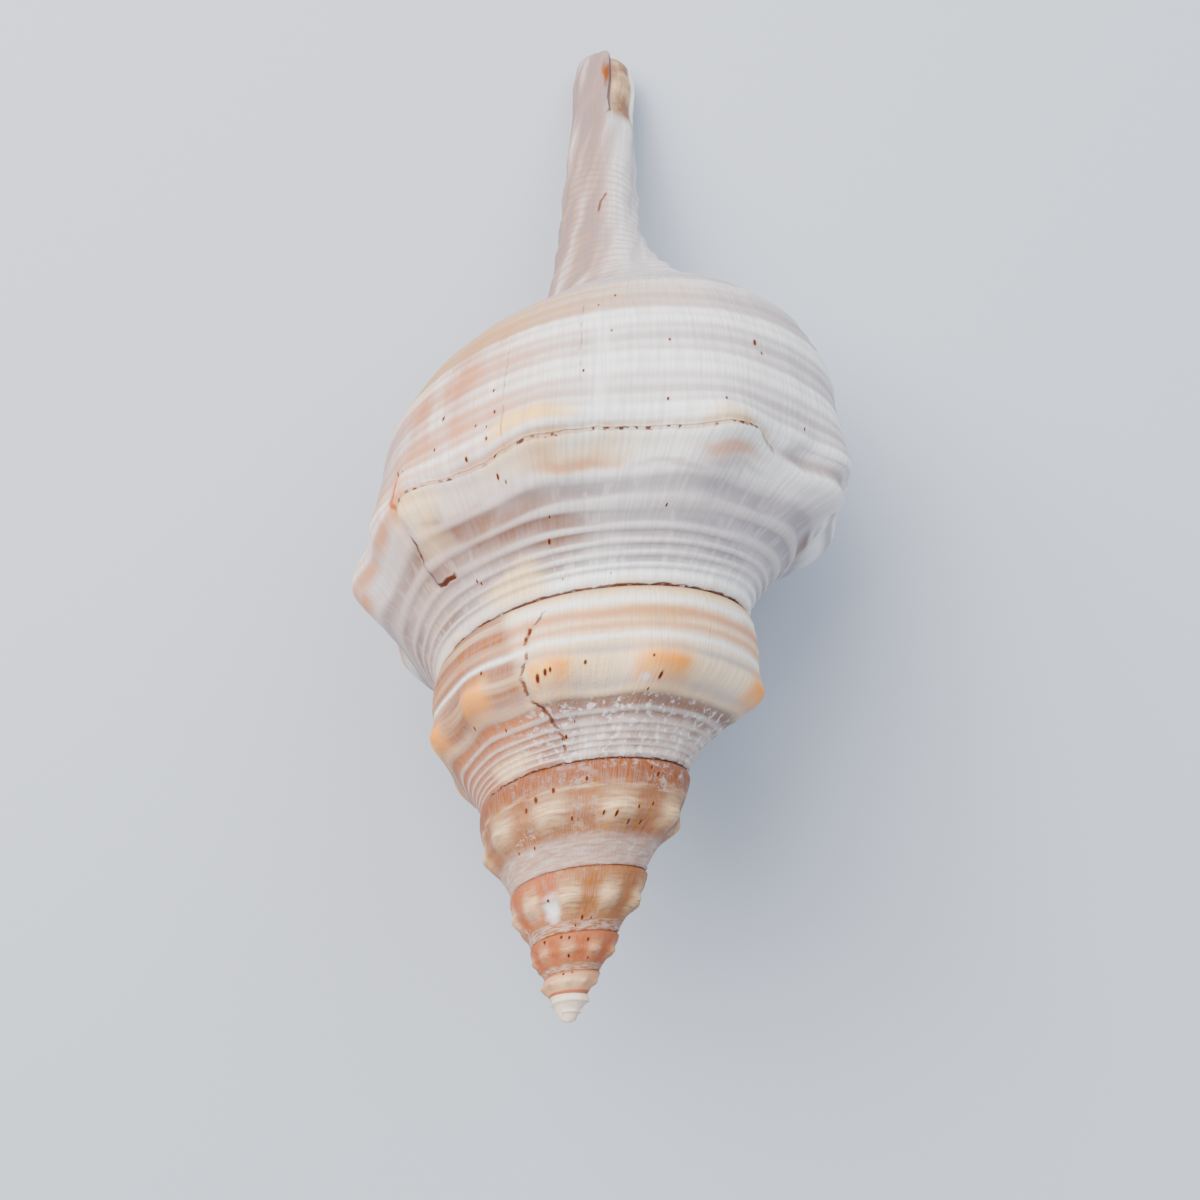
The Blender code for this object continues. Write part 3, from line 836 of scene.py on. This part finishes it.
old_paint = laid(lower, upper, blend(.68, .8, q))
shell_paint = laid(old_paint, shell_paint, last)

# Third whorl: orange tan round cream knobs, rubbed to chalk in places, its ramp dusty.
rubbed = blend(.5, .62, grain(620, 5, .75)) * blend(.42, .62, cloud)
streaks = noise(t * 26, q * 15, 58, 4)
mottle = grain(240, 3)
warm = laid(ORANGE_TAN, AMBER, blend(.42, .62, mottle) * blend(1.9, 1.2, q))
warm = laid(warm, UMBER, blend(.52, .68, streaks) * .5)
warm = laid(warm, CREAM, bell(across - 1.5, .07) * blend(.4, .7, streaks) * .5)
knob_cream = bell(across - 1.12, .3) * (round_knob * .75 + .1) * blend(.95, .25, streaks)
warm = laid(warm, CREAM, knob_cream)
warm = laid(warm, CHALK, rubbed * (blend(-2.02, -1.9, t) * .5 + .25))
dusty = laid(CHALK, WHITE, blend(.58, .7, grain(700, 4)) * .5)
dusty = laid(dusty, AMBER, blend(.75, .3, streaks) * .55 + .1)
warm = laid(warm, dusty, blend(.78, .5, q + wander_q * .3) * .9)
shell_paint = laid(shell_paint, warm, third)

# Fourth whorl and older: cream knobs in deepening orange, the worn tip pale again.
deeper = most(blend(-2.98, -3.06, t), blend(-3.3, -3.6, t)) * blend(.35, .6, q)
amber = laid(AMBER, DEEP_ORANGE, deeper)
knob_cream = bell(across - 1.1, .45) * round_knob * (blend(-3.7, -3.4, t) * .4 + .45)
amber = laid(amber, CREAM, knob_cream * blend(1.0, .2, streaks))
amber = laid(amber, UMBER, blend(.55, .7, streaks) * .4)
worn_ramp = laid(AMBER, CHALK, blend(.4, .6, streaks) * .6)
amber = laid(amber, worn_ramp, blend(.5, .25, q) * .85)
amber = laid(amber, CHALK, rubbed * blend(-3.6, -3.2, t) * .5)
pale = laid(PINK_TAN, CREAM, patch(-5, 1.0, .1, .5) * .6 + .1)
edges = most(blend(.4, .2, q) * blend(-5.3, -5.2, t), blend(1.7, 1.85, q) * .8)
pale = laid(pale, DEEP_ORANGE, edges * .9)
amber = laid(amber, pale, blend(-4.55, -4.75, t))
amber = laid(amber, laid(WHITE, CREAM, .4 + cloud * .3), blend(-5.55, -5.65, t) * .85)
shell_paint = laid(shell_paint, amber, most(fourth, oldest))
chips = most(patch(-3.055, .84, .026, .4), patch(-.933, .884, .0045, .05),
             patch(-2.1, .75, .02, .15) * rubbed)
shell_paint = laid(shell_paint, laid(CHALK, WHITE, blend(.3, .6, worn)), chips)
# Partly a tan stain, partly painted shade: umber darkening of the older whorls just under each
# suture, where the newer whorl overlaps.
stain_and_shade_under_suture = blend(1.84, 1.98, q) * between(-4.9, -.45, .02, t)
shell_paint = laid(shell_paint, UMBER, stain_and_shade_under_suture * (blend(-1.2, -2.2, t) * -.3 + .65))

# Fine striae, then the sutures and cracks, which are dark with old dirt, and painted shade in the
# crack's gape.
shell_paint = laid(shell_paint, GREY_MAUVE, blend(.58, .38, striae) * blend(3.3, 2.8, q) * .25)
fresh_edge = bell(q - .035, .02) * .5
shell_paint = laid(shell_paint, WHITE, fresh_edge * last)
speck = noise(t * 90, 0, 61, 3)
joint = most(blend(.02, .004, q + (speck - .5) * .04 + (noise(t * 40, 0, 64, 3) - .5) * .06)
             * blend(-5.6, -5.5, t),
             blend(1.97, 1.99, q + (speck - .5) * .03) * between(-5.4, -.45, .02, t))
joint = joint * (blend(.3, .5, speck) * .6 + .35) * (blend(-2.2, -1.2, t) * .5 + .5)
holes_along = blend(.5, .62, noise(t * 190, q * 25, 62, 2))
crack_from = shoulder_crack(t, q)
crack_run = between(-.131, .126, .006, t) * last
thin = line(crack_from, .3) * crack_run
amber_glow = bell(crack_from - .4, .7) * between(-.06, .125, .02, t) * last
shell_paint = laid(shell_paint, STAIN, amber_glow * (blend(.35, .6, speck) * .5 + .2))
# Painted shade: brown mauve in the gape under the lifted edge of the shoulder crack.
gape = blend(-.3, .3, crack_from) * bell(crack_from, 1.9) * between(.14, .235, .012, t) * last
toe_from = toe_crack(t, q)
toe = most(line(toe_from, .95) * between(.46, .79, .03, q),
           line((q - track(t, *TOE_END)) * ACROSS_MM, .6) * between(-.137, -.115, .002, t)) * last
old_from = old_crack(t, q)
split = line(old_from, .45) * between(.15, 1.78, .02, q) * between(-1.1, -.95, .01, t)
split = split * blend(.38, .5, noise(q * 9, 0, 63, 2))
rim_line = line((t - track(q, *RECESS_EDGE)) * LAST_GIRTH, .8) * between(.95, 1.28, .03, q) * last
tip_line = line(tip_seam(t, q), .5) * blend(5.12, 5.2, q) * between(-.1, .1, .02, t)
slit = line((t - track(q, *CANAL_CRACK)) * CANAL_GIRTH, .3) * between(4.14, 4.34, .02, q)
faint = most(line(t + .002 + wander_t * .12, .0009) * between(1.43, 2.15, .1, q),
             line(t + .047 + wander_t * .15, .0009) * between(1.0, 1.95, .1, q))
faint = faint * last * blend(.42, .56, noise(q * 9, t * 20, 66)) * .5
shell_paint = laid(shell_paint, DEEP_ORANGE, rim_line * .9)
rusty = most(thin * (holes_along * .6 + .3), toe, split * .85, tip_line * .8, slit * .8, joint, faint)
shell_paint = laid(shell_paint, RUST, rusty)
shell_paint = laid(shell_paint, DARK, most(thin * holes_along, joint * blend(.62, .7, speck)) * .8)
shell_paint = laid(shell_paint, BROWN_MAUVE, gape * .45)

# Worm holes and short cuts, each at its turn and place across, with its width in mm.
WORM_HOLES = [
    (.019, 2.16, .5), (.008, 2.075, .45), (.016, 1.777, .4), (.05, 1.664, .5), (.108, 1.742, .9),
    (.112, 1.66, .6), (.0, 1.448, .45), (-.054, 1.487, .5), (-.053, 1.312, .5),
    (-.058, 1.22, .35), (-.066, 1.272, .45), (-.058, 1.118, .6), (-.091, 1.465, .7),
    (-.097, 1.252, .5), (-.074, 1.043, .7), (.049, 1.197, .5), (.081, 1.191, .5),
    (-.055, .887, .6), (-.05, .84, .4), (-.023, .553, .4), (-.025, .405, .8), (.065, .562, .5),
    (-.098, .34, .6), (-.095, .308, .5), (-.136, 1.31, .7), (-.131, 1.29, .5), (-.122, 1.208, .4),
    (-.015, .12, .4), (.03, .1, .35), (.15, 1.2, .5), (.21, 1.5, .6), (.3, .6, .6),
    (.38, 1.3, .5), (-.25, .5, .5), (-.3, 1.4, .6), (.5, 1.8, .5), (-1.046, 1.571, 1.1),
    (-1.05, 1.5, .7), (-1.036, .958, .9), (-1.028, .985, .8), (-1.023, 1.0, .6),
    (-.991, 1.073, .7), (-1.011, .329, .8), (-.931, 1.068, .5), (-.918, .896, .8),
    (-.925, .78, .4), (-1.09, .62, .5), (-1.13, .8, .6), (-1.1, 1.3, .6), (-1.0, .5, .4),
    (-.6, 1.1, .7), (-1.35, 1.2, .6), (-2.03, 1.5, .8), (-2.06, 1.42, .9), (-2.08, 1.3, .8),
    (-1.98, 1.62, .7), (-1.88, 1.8, .7), (-1.865, 1.7, .8), (-1.93, .95, .8), (-1.95, .98, .6),
    (-1.9, .85, .8), (-1.87, .87, .7), (-2.0, .95, .5), (-1.86, 1.2, .7), (-1.89, 1.1, .8),
    (-2.08, .6, .6), (-2.12, .62, .5), (-2.96, .44, .9), (-2.93, .4, .5), (-2.98, .18, .6),
    (-3.06, 1.1, .7), (-4.03, 1.75, .8), (-4.0, 1.65, .7), (-4.1, 1.7, .8), (-3.93, 1.5, .7),
    (-4.0, .75, .7), (-3.91, .6, .6), (-5.03, 1.75, .6), (-4.98, 1.8, .5)]
HOLE_ACROSS = 13
along, over = (t + wander_t * .03) * LAST_GIRTH, (q + wander_q * .06) * HOLE_ACROSS
around = t.node("ShaderNodeCombineXYZ", None, {0: along, 1: over, 2: 0.0})
near = None
for turn_at, across_at, wide in WORM_HOLES:
    hole_at = (turn_at * LAST_GIRTH, across_at * HOLE_ACROSS, 0)
    gap = t.node("ShaderNodeVectorMath", {"operation": "DISTANCE"}, {0: around, 1: hole_at}, 1)
    gap = gap * (1.5 ** turn_at / wide * 1.5)
    near = near.math("MINIMUM", gap) if near else gap
bored = blend(.62, .4, near)
shell_paint = laid(shell_paint, SALMON, blend(1.1, .5, near) * .45)
shell_paint = laid(shell_paint, RUST, bored)
shell_paint = laid(shell_paint, DARK, blend(.4, .15, near) * .7)

# Inside the mouth: a cream edge, then a salmon glaze that deepens inwards.
inside = blend(.0004, .004, depth)
glaze = laid(CREAM, GLAZED, blend(.0, .09, depth))
glaze = laid(glaze, PINK_TAN, blend(.4, .65, cloud) * .35)
shell_paint = laid(shell_paint, glaze, inside)
dust = most(chips, rubbed * blend(-.4, -1.5, t))
skin.inputs["Specular IOR Level"].default_value = .24
tree.links.new(shell_paint.output, skin.inputs["Base Color"])
gloss = (cloud * .22 + .36 + blend(-.5, -1.5, t) * .08 + dust * .2) * (1 - inside * .55)
tree.links.new(gloss.output, skin.inputs["Roughness"])
pores = most(bored, joint * .7, thin, toe, split, tip_line, slit)
fine_cords = rib * between(.06, .84, .08, q) * blend(-1.8, -1.3, t)
bump_height = (striae * .3 + fleck * .12 + fine_cords * .25) * (1 - inside) - pores * 1.2
bump_height = bump_height + rubbed * .25 * blend(-.4, -1.5, t)
dented = t.node("ShaderNodeBump", None, {"Strength": .55, "Distance": .0006, "Height": bump_height})
tree.links.new(dented.output, skin.inputs["Normal"])

# Table and light. A plain pale floor under soft daylight from the left.
floor_mesh = bpy.data.meshes.new("floor")
floor_mesh.from_pydata([(-2, -2, 0), (2, -2, 0), (2, 2, 0), (-2, 2, 0)], [], [(0, 1, 2, 3)])
floor = bpy.data.objects.new("floor", floor_mesh)
bpy.context.scene.collection.objects.link(floor)
paint = bpy.data.materials.new("pale floor")
paint.use_nodes = True
paint.node_tree.nodes["Principled BSDF"].inputs["Base Color"].default_value = (.44, .48, .56, 1)
paint.node_tree.nodes["Principled BSDF"].inputs["Roughness"].default_value = .7
floor_mesh.materials.append(paint)
floor.location.z = -.0002

world = bpy.data.worlds.new("studio")
bpy.context.scene.world = world
world.use_nodes = True
world.node_tree.nodes["Background"].inputs["Color"].default_value = (.86, .92, 1, 1)
world.node_tree.nodes["Background"].inputs["Strength"].default_value = .6
for name, stand, power, width, colour in (
        ("window", (-.5, .42, .9), 35, 1.0, (1, .95, .87)),
        ("sky", (.4, .3, 1.0), 9, .9, (.82, .9, 1))):
    lamp = bpy.data.lights.new(name, "AREA")
    lamp.energy = power
    lamp.size = width
    lamp.color = colour
    holder = bpy.data.objects.new(name, lamp)
    bpy.context.scene.collection.objects.link(holder)
    holder.location = stand
    holder.rotation_euler = (-holder.location).to_track_quat("-Z", "Y").to_euler()

camera = bpy.data.objects.new("camera", bpy.data.cameras.new("camera"))
bpy.context.scene.collection.objects.link(camera)
camera.location = (-.000522, -.046856, .313)
camera.rotation_euler = (math.radians(4.5), 0, 0)
camera.data.lens = 48.6
camera.data.sensor_width = 36
camera.data.shift_x = -.0017
camera.data.shift_y = .0125
camera.data.clip_start = .01
bpy.context.scene.camera = camera
